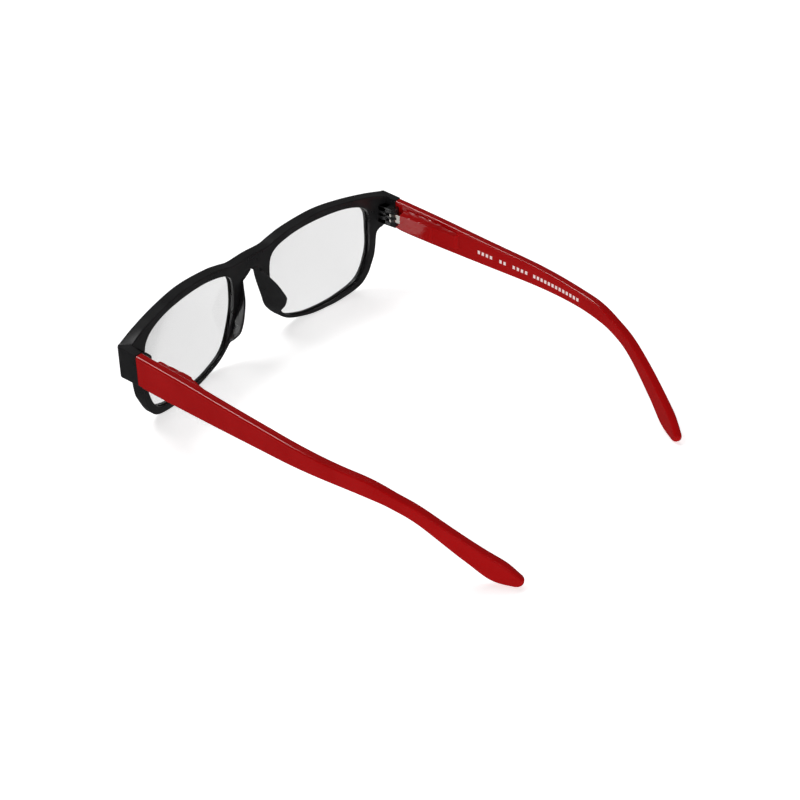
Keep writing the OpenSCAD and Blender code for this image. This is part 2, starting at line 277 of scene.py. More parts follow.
nickel = worked_steel("nickel_plated_steel", "#e6e3dc", "#b9b6b0", 0.12, 3, (1, 1, 6))
stainless = worked_steel("pressed_stainless_strip", "#c9cac9", "#9b9c9d", 0.25, 4, (6, 1, 1))
wire_steel = worked_steel("drawn_spring_wire", "#cfcfcd", "#8f9092", 0.2, 5, (1, 1, 1))
print("materials:", [m.name for m in bpy.data.materials])

# %% [markdown]
# ## Making surfaces
# Each new piece is one or more grids of points. A grid is turned into quads, grids that
# share an edge are welded, and the result is checked to be closed.

# %% Helpers for surfaces


def grid_faces(rows, columns, first=0, wrap_rows=False, wrap_columns=False):
    """Quads between neighbours of a rows x columns grid of vertices, in row-major order."""
    last_row = rows if wrap_rows else rows - 1
    last_column = columns if wrap_columns else columns - 1
    i, j = np.meshgrid(np.arange(last_row), np.arange(last_column), indexing="ij")
    a, b = i, (i + 1) % rows
    c, d = j, (j + 1) % columns
    quads = np.stack([a * columns + c, b * columns + c, b * columns + d, a * columns + d], -1)
    return quads.reshape(-1, 4) + first


WELD = 0.0005 * MM
SHARP_ANGLE = math.radians(35)


def make_piece(name, points, faces, material, body):
    """A mesh from points in mm (y from the hinge line): welded, outward and smooth."""
    mesh = bpy.data.meshes.new(name)
    placed = (np.asarray(points, float) + [0, hinge[1], 0]) * MM
    mesh.from_pydata(placed.tolist(), [], [list(map(int, f)) for f in faces])
    shape = bmesh.new()
    shape.from_mesh(mesh)
    bmesh.ops.remove_doubles(shape, verts=shape.verts, dist=WELD)
    bmesh.ops.dissolve_degenerate(shape, edges=shape.edges, dist=WELD)
    bmesh.ops.recalc_face_normals(shape, faces=shape.faces)
    open_edges = sum(len(edge.link_faces) != 2 for edge in shape.edges)
    shape.to_mesh(mesh)
    shape.free()
    mesh.shade_smooth()
    mesh.set_sharp_from_angle(angle=SHARP_ANGLE)
    mesh.materials.append(material)
    piece = bpy.data.objects.new(name, mesh)
    bpy.context.scene.collection.objects.link(piece)
    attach(piece, body)
    print(name, len(mesh.polygons), "faces,", open_edges, "open edges")
    return piece


def mirrored(points):
    """The same points on the other side: x changes sign."""
    return np.asarray(points) * [-1, 1, 1]


def curve(points, t, closed=False):
    """Smooth curve through points (Catmull-Rom): t counts points, its fraction blends."""
    points = np.asarray(points, float)
    n = len(points)
    t = np.asarray(t, float)
    i = np.floor(t).astype(int)
    if closed:
        a, b, c, d = (points[(i + k) % n] for k in (-1, 0, 1, 2))
    else:
        i = np.clip(i, 0, n - 2)
        a, b, c, d = (points[np.clip(i + k, 0, n - 1)] for k in (-1, 0, 1, 2))
    f = (t - i)[:, None]
    return 0.5 * (2 * b + (c - a) * f + (2 * a - 5 * b + 4 * c - d) * f ** 2
                  + (3 * b - a - 3 * c + d) * f ** 3)


def lengths(line):
    """Distance travelled along a polyline at each of its points."""
    return np.concatenate([[0], np.cumsum(np.linalg.norm(np.diff(line, axis=0), axis=1))])


def along(line, distances):
    """Points of a polyline at the given distances along it."""
    travelled = lengths(line)
    return np.stack([np.interp(distances, travelled, column) for column in line.T], -1)


def distance_to(points, line):
    """Shortest distance from each 2-D point to a polyline."""
    best = np.full(len(points), 1e9)
    for start, end in zip(line[:-1], line[1:]):
        run = end - start
        share = np.clip((points - start) @ run / max(run @ run, 1e-12), 0, 1)
        best = np.minimum(best, np.linalg.norm(points - start - share[:, None] * run, axis=1))
    return best


def rounding(distance, radius):
    """How far a quarter-round edge has sunk at this distance in from the edge."""
    inside = np.clip(distance, 0, radius)
    return radius - np.sqrt(np.maximum(radius ** 2 - (radius - inside) ** 2, 0))


def edge_steps(radius, count):
    """Distances in from an edge that sample a quarter round evenly."""
    return radius * (1 - np.cos(np.linspace(0, math.pi / 2, count)))


# %% [markdown]
# ## Shapes shared by the front and the lenses
# The lens opening is a smooth closed curve through fourteen points, given as shares of
# the lens's half width and half height. The front's top and lower edges are open curves.

# %% Sizes read from the frame
front_low, front_high = node_box("front_frame")
lens_low, lens_high = node_box("left_lens")
temple_l = node_box("left_temple")[1][1]
GROOVE = 0.7             # depth of the lens groove, all round the opening
half_w = front_high[0]
front_h = front_high[2]
front_depth = -front_low[1]
lens_x, lens_z = (lens_low[[0, 2]] + lens_high[[0, 2]]) / 2
lens_half_w = (lens_high[0] - lens_low[0]) / 2 - GROOVE
lens_half_h = (lens_high[2] - lens_low[2]) / 2 - GROOVE
lens_in, lens_out = lens_x - lens_half_w, lens_x + lens_half_w
axis_x = hinge[0]
hinge_h = hinge[2]
print("half width %.1f, lens %.1f x %.1f" % (half_w, 2 * lens_half_w, 2 * lens_half_h))

# %% Outlines
LENS_SHAPE = np.array([
    [1, 0.22], [0.94, 0.72], [0.60, 0.94], [0, 1], [-0.58, 0.94], [-0.95, 0.74],
    [-1, 0.23], [-0.91, -0.27], [-0.72, -0.73], [-0.37, -0.94], [0, -1],
    [0.40, -0.96], [0.80, -0.77], [0.98, -0.28]])
lens_points = LENS_SHAPE * [lens_half_w, lens_half_h] + [lens_x, lens_z]
LENS_SPAN = len(lens_points)
BRIDGE_DROP, BRIDGE_H = 3.4, 5.4
END_BELOW, END_ABOVE = 5.8, 6.4
CORNER_R = 0.7
bridge_top = front_h - BRIDGE_DROP
bridge_under = bridge_top - BRIDGE_H
end_low, end_high = hinge_h - END_BELOW, hinge_h + END_ABOVE
corner_x = half_w - CORNER_R
top_points = np.array([
    [-8, bridge_top - 0.2], [0, bridge_top], [8, bridge_top - 0.2],
    [lens_in + 3.6, bridge_top + 0.9], [lens_x - 0.58 * lens_half_w, front_h - 1.2],
    [lens_x, front_h],
    [lens_x + 0.5 * lens_half_w, front_h - 0.8], [lens_out, front_h - 2.5],
    [corner_x, end_high + 0.1]])
low_points = np.array([
    [-2.4, bridge_under - 0.1], [0, bridge_under], [lens_in - 7.2, bridge_under - 0.1],
    [lens_in - 5.5, bridge_under - 1.2], [lens_in - 4.7, bridge_under - 4],
    [lens_in - 3.8, lens_z + 4.5], [lens_in - 1.6, lens_z - 2.8],
    [lens_in + 0.7, lens_z - 0.49 * lens_half_h], [lens_in + 7.6, 4.6],
    [lens_x - 8, 1.3], [lens_x, 0.05], [lens_out - 13.5, 0.4],
    [lens_out - 3.4, 3.5], [lens_out + 2.2, lens_z - 0.45 * lens_half_h],
    [lens_out + 3.6, lens_z - 4], [lens_out + 4.3, lens_z + 2.2],
    [lens_out + 5.6, end_low - 1.2], [lens_out + 7.4, end_low - 0.2], [corner_x, end_low]])
top_line = curve(top_points, np.linspace(1, len(top_points) - 1, 400))
low_line = curve(low_points, np.linspace(1, len(low_points) - 1, 900))
low_line[:, 1] = np.maximum(low_line[:, 1], 0)
lens_line = curve(lens_points, np.linspace(0, LENS_SPAN, 701), closed=True)
print("outline of half the front: %.0f mm" % (lengths(top_line)[-1] + lengths(low_line)[-1]))

# %% Front and rear faces of the wrap
WRAP_R = 271.0
RIM_T = 3.6
LEAN = 1.0 / front_h
wrap_y = WRAP_R - front_depth


def front_y(x):
    """Front face: an upright cylinder round the wearer's head."""
    return wrap_y - np.sqrt(WRAP_R ** 2 - x ** 2)


def rear_y(x, z):
    """Rear face: a thinner cylinder that leans back, so the brow is thicker."""
    return wrap_y + z * LEAN - np.sqrt((WRAP_R - RIM_T) ** 2 - x ** 2)


# %% Lens surfaces
LENS_FRONT_R, LENS_REAR_R, LENS_T = 150.0, 277.0, 2.6
LENS_SET = 0.3           # how far the lens sits behind the front face
lens_tilt = math.asin(lens_x / WRAP_R)
lens_apex_y = wrap_y - math.sqrt(WRAP_R ** 2 - lens_x ** 2) + LENS_SET


def lens_y(x, z, radius, depth):
    """y of a sphere of this radius whose apex lies depth behind the lens's front apex."""
    centre = np.array([lens_x - math.sin(lens_tilt) * (radius + depth),
                       lens_apex_y + math.cos(lens_tilt) * (radius + depth)])
    reach = radius ** 2 - (z - lens_z) ** 2 - (x - centre[0]) ** 2
    return centre[1] - np.sqrt(reach)


# %% [markdown]
# ## Front
# The front is one moulding. Half of it is worked out as a tube bent round the lens
# opening: each line runs from the opening to the outer outline over the front face, down
# the outer wall, back over the rear face and down into the lens groove. At the middle of
# the bridge it meets its mirror image. At the outer corner a patch carries it round into
# the endpiece. The nose pads grow out of the rear edge of the nasal rim.

# %% Matching the outline to the lens opening


def outer_loop():
    """Samples of the outer outline, the lens parameter that each one faces, and its part."""
    side_z = np.concatenate([end_low + edge_steps(0.6, 6),
                             np.linspace(end_low + 1.2, end_high - 1.1, 12),
                             end_high + 0.1 - edge_steps(0.6, 6)[::-1]])
    side = np.stack([np.full(len(side_z), corner_x), side_z], -1)
    top = along(top_line[::-1], np.linspace(0, lengths(top_line)[-1], 150))
    bridge_z = np.concatenate([bridge_top - edge_steps(0.6, 6),
                               np.linspace(bridge_top - 1.1, bridge_under + 1.1, 7),
                               bridge_under + edge_steps(0.6, 6)[::-1]])
    bridge = np.stack([np.zeros(len(bridge_z)), bridge_z], -1)
    low = along(low_line, np.linspace(0, lengths(low_line)[-1], 330))
    parts = [side, top[1:], bridge[1:], low[1:-1]]
    points = np.concatenate(parts)
    part = np.concatenate([np.full(len(p), k) for k, p in enumerate(parts)])
    return points, part


outline, part = outer_loop()
travel = lengths(np.vstack([outline, outline[:1]]))
nearest = np.array([np.argmin(((lens_line - p) ** 2).sum(1)) for p in outline])
nearest = nearest / (len(lens_line) - 1) * LENS_SPAN
SIDE, TOP, BRIDGE, LOW = range(4)
steady = (((part == TOP) & (outline[:, 0] > lens_x - 15) & (outline[:, 0] < lens_x + 17))
          | ((part == LOW) & (outline[:, 1] < lens_z - 4)))
side_end = np.flatnonzero(part == SIDE)[-1]
top_end = np.flatnonzero(part == TOP)[-1]
bridge_end = np.flatnonzero(part == BRIDGE)[-1]
anchors = [(travel[0], -0.15), (travel[side_end], 1.05), (travel[top_end], 5.25),
           (travel[bridge_end], 5.8), (travel[-1], LENS_SPAN - 0.15)]
anchors += [(travel[i], nearest[i]) for i in np.flatnonzero(steady)[::3]]
anchors = np.array(sorted(anchors))
anchors[:, 1] = np.maximum.accumulate(anchors[:, 1])
facing = np.interp(travel[:-1], anchors[:, 0], anchors[:, 1])
opening = curve(lens_points, facing % LENS_SPAN, closed=True)
span = np.linalg.norm(outline - opening, axis=1)
print(len(outline), "lines round the opening, from %.1f to %.1f mm long" % (span.min(), span.max()))

# %% Nose pad height along the nasal edge
PAD_Z = lens_z + 1 + np.array([-13.2, -12.4, -10.8, -7.6, -3.7, 0.6, 4, 7.4, 10, 11.8])
PAD_RISE = np.array([0, 0.5, 2.4, 5.1, 6.2, 5.7, 4.6, 2.3, 0.5, 0])
PAD_T = 2.2
PAD_SPLAY = math.radians(26)
pad_curve = curve(np.stack([PAD_Z, PAD_RISE], -1), np.linspace(0, len(PAD_Z) - 1, 200))
nasal = (part == LOW) & (outline[:, 0] < lens_in + 4)
pad_rise = np.where(nasal, np.interp(outline[:, 1], pad_curve[:, 0], pad_curve[:, 1],
                                     left=0, right=0), 0)
pad_way = np.array([math.sin(PAD_SPLAY), math.cos(PAD_SPLAY)])

# %% Half of the front
IN_R, OUT_R, REAR_R = 0.35, 0.7, 0.5
LENS_GAP = 0.05
REAR_END_X = half_w - 3.0 - 0.4
SQUEEZE_X = 58.0


def steps_across(first_r, last_r, middle):
    """Shares along a line: exact steps over both rounded edges, even ones between."""
    start = edge_steps(first_r, 6)
    end = edge_steps(last_r, 6)
    rest = np.linspace(0, 1, middle + 2)[1:-1]
    inner = start[-1] + rest * (span[:, None] - start[-1] - end[-1])
    return np.concatenate([np.broadcast_to(start, (len(span), 6)), inner,
                           span[:, None] - end[::-1]], axis=1)


def faces_of_band():
    """Points of the front face, outer wall, rear face and groove for every line."""
    way = (outline - opening) / span[:, None]

    def flat(distance):
        """Point this far from the opening along each line."""
        return opening[:, None] + way[:, None] * distance[..., None]

    def sunk(xz, radius_out):
        """How far the rounded edges lower each point: the outer edge's and the opening's."""
        spots = xz.reshape(-1, 2)
        out = np.minimum(distance_to(spots, top_line[::4]), distance_to(spots, low_line[::4]))
        into = distance_to(spots, lens_line[::4])
        return (rounding(out, radius_out) + rounding(into, IN_R)).reshape(xz.shape[:2])

    front_xz = flat(steps_across(IN_R, OUT_R, 7))
    front = np.stack([front_xz[..., 0],
                      front_y(front_xz[..., 0]) + sunk(front_xz, OUT_R), front_xz[..., 1]], -1)
    # Rear face: even steps, then the foot, wall and top of the nose pad.
    base = np.concatenate([
        np.broadcast_to(edge_steps(IN_R, 6), (len(span), 6)),
        IN_R + np.linspace(0.1, 1, 6) * np.maximum(span - PAD_T - IN_R, 0.2)[:, None]], axis=1)
    left = span[:, None] - base[:, -1:]
    wall = span[:, None] - left * np.linspace(0.97, 0.72, 9)
    crown = span[:, None] - left * np.linspace(0.66, REAR_R / 2.3 + 0.02, 5)
    edge = span[:, None] - np.minimum(edge_steps(REAR_R, 6)[::-1], left * 0.2)
    rear_xz = flat(np.concatenate([base, wall, crown, edge], axis=1))
    n_base, n_wall = base.shape[1], wall.shape[1]
    share = np.zeros(rear_xz.shape[1])
    share[n_base:n_base + n_wall] = np.linspace(0.05, 0.93, n_wall)
    share[n_base + n_wall:] = [0.975, 0.99] + 9 * [1]
    squeezed = rear_xz[..., 0].copy()
    beyond = squeezed > SQUEEZE_X
    squeezed[beyond] = SQUEEZE_X + (squeezed[beyond] - SQUEEZE_X) * (
        (REAR_END_X - SQUEEZE_X) / (corner_x - SQUEEZE_X))
    rear = np.stack([squeezed, rear_y(squeezed, rear_xz[..., 1]) - sunk(rear_xz, REAR_R),
                     rear_xz[..., 1]], -1)
    lift = pad_rise[:, None] * share
    rear[..., :2] += lift[..., None] * pad_way
    # Outer wall between the last front point and the last rear point.
    between = np.linspace(0, 1, 12)[1:-1]
    a, b = front[:, -1], rear[:, -1]
    outer = a[:, None] + between[None, :, None] * (b - a)[:, None]
    bow = pad_rise[:, None] * np.sin(between * math.pi) * 0.05
    outer[..., 0] += bow
    # Groove that holds the lens, cut into the rim from the opening.
    deep = opening + way * (GROOVE - 0.02)

    def groove_edge(xz, radius, depth, gap):
        """Line on one face of the lens, moved away from it by the gap."""
        y = lens_y(xz[:, 0], xz[:, 1], radius, depth) + gap
        return np.stack([xz[:, 0], y, xz[:, 1]], -1)

    groove = np.stack([groove_edge(opening, LENS_REAR_R, LENS_T, LENS_GAP),
                       groove_edge(deep, LENS_REAR_R, LENS_T, LENS_GAP),
                       groove_edge(deep, LENS_FRONT_R, 0.0, -LENS_GAP),
                       groove_edge(opening, LENS_FRONT_R, 0.0, -LENS_GAP)], axis=1)
    return front, outer, rear[:, ::-1], groove


front_rows, wall_rows, rear_rows, groove_rows = faces_of_band()
band = np.concatenate([front_rows, wall_rows, rear_rows, groove_rows], axis=1)
n_lines, n_rows = band.shape[:2]
wall_first = front_rows.shape[1] - 1
wall_last = front_rows.shape[1] + wall_rows.shape[1]
print("half of the front:", band.shape[:2], "points")

# %% Endpiece patch
WALL_T = 3.0
END_Y = -0.1
END_DROP = 0.5


def endpiece(n_bend=7, n_run=8):
    """Loops that carry the outer corner's section round the bend and back to the hinge."""
    side = np.arange(side_end + 1)
    wall = np.arange(wall_first, wall_last + 1)
    loop_index = np.concatenate([
        side * n_rows + wall_first,
        (side_end * n_rows + wall)[1:],
        (side[::-1] * n_rows + wall_last)[1:],
        wall[::-1][1:-1]])
    loop = band.reshape(-1, 3)[loop_index]
    depth_front, depth_rear = front_y(corner_x), rear_y(REAR_END_X, loop[:, 2])
    share = np.clip((loop[:, 1] - depth_front) / (depth_rear - depth_front), 0, 1)
    turn = np.linspace(0, math.pi / 2, n_bend)[1:]
    corner_y = front_y(half_w)
    outer_bend = np.stack([corner_x + CORNER_R * np.sin(turn),
                           corner_y + CORNER_R * (1 - np.cos(turn))], -1)
    inner_y = rear_y(half_w - WALL_T, end_low)
    inner_bend = np.stack([
        half_w - WALL_T - 0.4 * (1 - np.sin(turn)), inner_y + 0.5 * (1 - np.cos(turn))], -1)
    run = np.linspace(0, 1, n_run + 1)[1:]
    last_y = END_Y - 0.25
    outer_run = np.stack([np.full(n_run, half_w), outer_bend[-1, 1]
                          + run * (last_y - outer_bend[-1, 1])], -1)
    inner_run = np.stack([np.full(n_run, half_w - WALL_T), inner_bend[-1, 1]
                          + run * (last_y - inner_bend[-1, 1])], -1)
    outer = np.concatenate([outer_bend, outer_run])
    inner = np.concatenate([inner_bend, inner_run])
    plan = outer[:, None] * (1 - share)[None, :, None] + inner[:, None] * share[None, :, None]
    fall = np.clip((outer[:, 1] - corner_y) / (END_Y - corner_y), 0, 1)
    height = (loop[:, 2] - end_low) / (end_high + 0.1 - end_low)
    z = loop[:, 2][None] - END_DROP * fall[:, None] * height[None]
    loops = np.concatenate([plan, z[..., None]], axis=-1)
    # Rounded end: the last section shrinks by a quarter round.
    middle = loops[-1].mean(0)
    out = loops[-1] - middle
    size = np.abs(out[:, [0, 2]]).max(0)
    caps = []
    for angle in np.linspace(0, math.pi / 2, 5)[1:]:
        shrink = 1 - 0.25 * (1 - math.cos(angle)) / size
        cap = middle + out * [shrink[0], 1, shrink[1]]
        cap[:, 1] = last_y + 0.25 * math.sin(angle)
        caps.append(cap)
    loops = np.concatenate([loops, caps])
    return loop_index, loops


loop_index, end_loops = endpiece()


def front_mesh():
    """Both halves: band quads, with the walls left open at the bridge and the corner."""
    faces = grid_faces(n_lines, n_rows, wrap_rows=True, wrap_columns=True)
    line = faces[:, 0] // n_rows
    row = faces[:, 0] % n_rows
    following = (line + 1) % n_lines
    in_wall = (row >= wall_first) & (row < wall_last)
    at_side = (line < side_end) & (following <= side_end)
    at_bridge = (line >= top_end) & (line < bridge_end)
    faces = faces[~(in_wall & (at_side | at_bridge))]
    points = band.reshape(-1, 3).copy()
    first = len(points)
    k, m = end_loops.shape[:2]
    points = np.concatenate([points, end_loops.reshape(-1, 3)])
    ring = np.arange(m)
    start = np.stack([loop_index[ring], loop_index[(ring + 1) % m],
                      first + (ring + 1) % m, first + ring], -1)
    patch = grid_faces(k, m, first=first, wrap_columns=True)
    cap = [list(first + (k - 1) * m + ring)]
    half = [list(f) for f in np.concatenate([faces, start, patch])] + cap
    points[np.abs(points[:, 0]) < 0.002, 0] = 0
    count = len(points)
    both = np.concatenate([points, mirrored(points)])
    return both, half + [[i + count for i in reversed(f)] for f in half]


front_points, front_faces = front_mesh()
front = make_piece("front", front_points, front_faces, black, "front")
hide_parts("front_frame")

# %% [markdown]
# ## Knuckles
# The black half of each hinge is three short knuckles on a block behind the endpiece.
# Each one is drawn as a ring: from its bore out to a D-shaped outline, up and back in.
# The upper one has a wider pocket, where the screw's head sits.

# %% Stack of the hinge
tongue_low, tongue_high = node_box("left_hinge_tongue")
screw_low, screw_high = node_box("left_hinge_screw")
TURN_GAP = 0.04
knuckle_r = -tongue_low[1]
stack_low, stack_high = screw_low[2], screw_high[2]
eyes_low, eyes_high = tongue_low[2], tongue_high[2]
EYE_T = 1.1
HEAD_T, HEAD_R, SHANK_R = 0.9, 1.2, 0.7
swing_r = knuckle_r + 0.2
print("knuckle radius %.2f, stack %.2f to %.2f" % (knuckle_r, stack_low, stack_high))


def knuckle(low, high, bore_top=SHANK_R, pocket=0.0, tail=6.0, round_r=0.12):
    """D-shaped ring about the hinge axis: half circle behind, straight sides to -tail."""
    turn = np.linspace(0, math.pi, 25)
    arc = np.stack([knuckle_r * np.cos(turn), knuckle_r * np.sin(turn)], -1)
    back = np.linspace(-1, 1, 9)[1:-1]
    rear = np.stack([knuckle_r * back, np.full(7, -tail)], -1)
    sides = np.linspace(0, -tail, 12)[1:]
    left = np.stack([np.full(11, -knuckle_r), sides], -1)
    right = np.stack([np.full(11, knuckle_r), sides[::-1]], -1)
    outer = np.concatenate([arc, left, rear, right])
    angle = np.arctan2(outer[:, 1], outer[:, 0])
    circle = np.stack([np.cos(angle), np.sin(angle)], -1)
    inset = edge_steps(round_r, 4)
    shrink = rounding(inset, round_r)
    size = np.linalg.norm(outer, axis=1, keepdims=True)

    def level(flat, z):
        """A flat ring lifted to height z."""
        return np.column_stack([flat, np.full(len(flat), z)])

    shank, mouth = SHANK_R + TURN_GAP, bore_top + TURN_GAP
    rings = [level(circle * shank, low)]
    rings += [level(outer * (1 - d / size), low + s) for d, s in zip(inset[::-1], shrink[::-1])]
    rings += [level(outer * (1 - d / size), high - s) for d, s in zip(inset, shrink)]
    rings += [level(circle * mouth, high)]
    if pocket:
        rings += [level(circle * mouth, high - pocket), level(circle * shank, high - pocket)]
    rings = np.array(rings) + [axis_x, 0, 0]
    faces = grid_faces(len(rings), len(outer), wrap_rows=True, wrap_columns=True)
    return rings.reshape(-1, 3), faces


def slab(low, high, round_r=0.25):
    """Box from corner low to corner high, each face inset at its edges: a soft block."""
    cube = bmesh.new()
    bmesh.ops.create_cube(cube, size=1)
    bmesh.ops.bevel(cube, geom=cube.edges, offset=round_r / min(high - low), segments=3,
                    affect="EDGES")
    points = np.array([v.co for v in cube.verts])
    faces = [[v.index for v in f.verts] for f in cube.faces]
    cube.free()
    size = high - low
    core = np.clip(points / (0.5 - round_r / min(size)), -1, 1)
    rest = points - core * (0.5 - round_r / min(size))
    return (low + high) / 2 + core * (size / 2 - round_r) + rest * min(size), faces


def together(parts):
    """Joins several (points, faces) into one."""
    points, faces, count = [], [], 0
    for some_points, some_faces in parts:
        points.append(some_points)
        faces += [[int(i) + count for i in face] for face in some_faces]
        count += len(some_points)
    return np.concatenate(points), faces


def both_sides(part):
    """A part and its mirror image, whose faces are listed backwards to stay outward."""
    points, faces = part
    return together([(points, faces), (mirrored(points), [list(f)[::-1] for f in faces])])


# %% Make the knuckles
END_KNUCKLE = 1.8
BLOCK_START = -8.6
block = slab(np.array([axis_x - knuckle_r, BLOCK_START, stack_low]),
             np.array([half_w - 2.0, -swing_r, stack_high]))
lower = knuckle(stack_low, stack_low + END_KNUCKLE)
middle = knuckle(eyes_low + EYE_T + TURN_GAP, eyes_high - EYE_T - TURN_GAP)
upper = knuckle(stack_high - END_KNUCKLE, stack_high, bore_top=HEAD_R, pocket=HEAD_T)
knuckles = make_piece("hinge_knuckles",
                      *both_sides(together([block, lower, middle, upper])), black, "front")
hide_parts("front_frame")

# %% [markdown]
# ## Temples
# A temple is a flat strip that thins towards the ear, bends down behind it and curves
# in towards the head. Its side view is laid out flat along a centre line, then rolled
# round the bend. The inner face carries a raised box that houses the spring.

# %% Side view of a temple
TEMPLE_T = 3.0
TOE_R = 152.0
SHUT_GAP = 0.2
EDGE_R, TIP_EDGE_R = 0.65, 1.2
toe_start = 59.0
drop_l = 45.8
drop_y = temple_l - drop_l
root_low = hinge_h - 5.4
root_high = root_low + 11.2
ear_h = hinge_h - 6.9
waist_high = ear_h + 5.4
temple_top = np.array([
    [SHUT_GAP / 2, root_high], [4.6, root_high - 0.3], [0.22 * drop_y, root_high - 1.4],
    [0.44 * drop_y, root_high - 3.2], [0.66 * drop_y, root_high - 4.8],
    [0.88 * drop_y, waist_high + 0.5], [drop_y, waist_high - 0.7],
    [drop_y + 0.19 * drop_l, waist_high - 0.14 * ear_h],
    [drop_y + 0.375 * drop_l, waist_high - 0.28 * ear_h],
    [drop_y + 0.665 * drop_l, 0.605 * ear_h], [temple_l - 6.4, 0.37 * ear_h],
    [temple_l - 1.1, 3.9]])
temple_low_edge = np.array([
    [SHUT_GAP / 2, root_low - 0.2], [4.6, root_low - 0.8], [0.22 * drop_y, root_low - 1.2],
    [0.44 * drop_y, root_low - 1.4], [0.66 * drop_y, root_low - 1.5],
    [0.88 * drop_y, ear_h - 0.4], [drop_y, 0.945 * ear_h],
    [drop_y + 0.19 * drop_l, 0.87 * ear_h], [drop_y + 0.375 * drop_l, 0.71 * ear_h],
    [drop_y + 0.665 * drop_l, 0.29 * ear_h], [temple_l - 8.6, 1.4],
    [temple_l - 2.9, 0.05]])


def temple_stations():
    """Centre line, its normal and half height at every station, from hinge to tip."""
    t = np.concatenate([np.linspace(0, 1, 17)[:-1], np.linspace(1, 2, 50)[:-1],
                        np.linspace(2, 3, 42)[:-1], np.linspace(3, 11, 110)])
    top = curve(temple_top, t)
    low = curve(temple_low_edge, t)
    low[:, 1] = np.maximum(low[:, 1], 0.05)
    middle = (top + low) / 2
    ahead = np.gradient(middle, axis=0)
    ahead /= np.linalg.norm(ahead, axis=1, keepdims=True)
    early = np.clip((middle[:, :1] - 20) / 20, 0, 1)
    ahead = ahead * early + np.array([1, 0]) * (1 - early)
    ahead /= np.linalg.norm(ahead, axis=1, keepdims=True)
    normal = np.stack([-ahead[:, 1], ahead[:, 0]], -1)
    half = ((top - low) / 2 * normal).sum(1)
    # Round tip: a circle that both edges run into without a kink.
    lean = math.atan2(half[-2] - half[-1], np.linalg.norm(middle[-1] - middle[-2]))
    turn = np.linspace(lean, math.pi / 2, 14)[1:]
    radius = half[-1] / math.cos(lean)
    tip = middle[-1] + radius * (np.sin(turn) - math.sin(lean))[:, None] * ahead[-1]
    middle = np.concatenate([middle, tip])
    normal = np.concatenate([normal, np.repeat(normal[-1:], len(turn), 0)])
    half = np.concatenate([half, np.maximum(radius * np.cos(turn), 1e-4)])
    return middle, normal, half


middle, normal, half = temple_stations()
side_outline = np.concatenate([middle + normal * half[:, None],
                               (middle - normal * half[:, None])[::-1]])
lowest = side_outline[:, 1].min()
print("temple: %d stations, lowest point %.2f mm" % (len(middle), lowest))

# %% Spring box on the inner face
housing_low, housing_high = node_box("left_spring_housing")
BOX_WALL = 0.72
BOX_SLOPE = 0.5
box_in = (housing_high[0] - housing_low[0]) / 2 + BOX_WALL
box_high = (housing_high[2] - housing_low[2]) / 2 + BOX_WALL
box_rise = (half_w - TEMPLE_T) - (axis_x - box_in)
box_end = housing_high[1] + 1.9
fade_end = box_end + 11
FADE_RISE, FADE_FALL = 1.2, 1.6


def soft_least(a, b, softness):
    """The lesser of two heights, with the ridge between them rounded off."""
    share = np.clip(0.5 + 0.5 * (b - a) / softness, 0, 1)
    return b * (1 - share) + a * share - softness * share * (1 - share)


def box_height(y, z):
    """How far the box stands out from the inner face: the least of its slopes."""
    crown = np.full(np.broadcast(y, z).shape, box_rise)
    fall = np.interp(y, [housing_high[1], fade_end], [0, FADE_FALL])
    above = (hinge_h + box_high + BOX_SLOPE - fall - z) * box_rise / BOX_SLOPE
    below = (z - (hinge_h - box_high - 1.5)) * box_rise / 1.1
    behind = np.interp(y, [box_end + 0.6, fade_end - 0.8, fade_end],
                       [box_rise - 0.5, FADE_RISE, 0])
    step = np.where(y > box_end, box_rise - (y - box_end) * 0.8, box_rise)
    height = soft_least(crown, above, 0.5)
    height = soft_least(height, below, 0.3)
    behind = np.where(y < box_end + 0.6, step + 0.3, behind)
    height = soft_least(height, behind, 0.3)
    return np.where(y < housing_low[1] + 0.02, 0, np.maximum(height, 0))


def inner_depth(y, z):
    """Depth of the inner face below the outer one, with the box and the hinge recess."""
    depth = TEMPLE_T + box_height(y, z)
    reach = np.sqrt(np.maximum(swing_r ** 2 - y ** 2, 0))
    in_stack = (z > stack_low - SHUT_GAP) & (z < stack_high + SHUT_GAP)
    recess = np.where((y < swing_r) & in_stack, half_w - axis_x - reach, 99)
    return np.minimum(depth, recess)


def rolled(y, z, depth):
    """Flat (y, z, depth) to space: straight at first, then round an arc of radius TOE_R."""
    angle = np.arcsin(np.clip((y - toe_start) / TOE_R, 0, 1))
    radius = TOE_R - depth
    x = half_w - TOE_R + radius * np.cos(angle)
    arc_y = np.where(y < toe_start, y, toe_start + radius * np.sin(angle))
    return np.stack([x, arc_y, z], -1)


def temple_rows(n_face=34):
    """Offsets from the centre line across one face: exact steps over the rounded edges."""
    room = 2 * half[:, None]
    start = np.minimum(edge_steps(EDGE_R, 6), room * np.linspace(0, 0.2, 6))
    share = np.linspace(0, 1, n_face + 2)[1:-1]
    between = start[:, -1:] + share * (room - 2 * start[:, -1:])
    return np.concatenate([start, between, room - start[:, ::-1]], 1) - half[:, None]


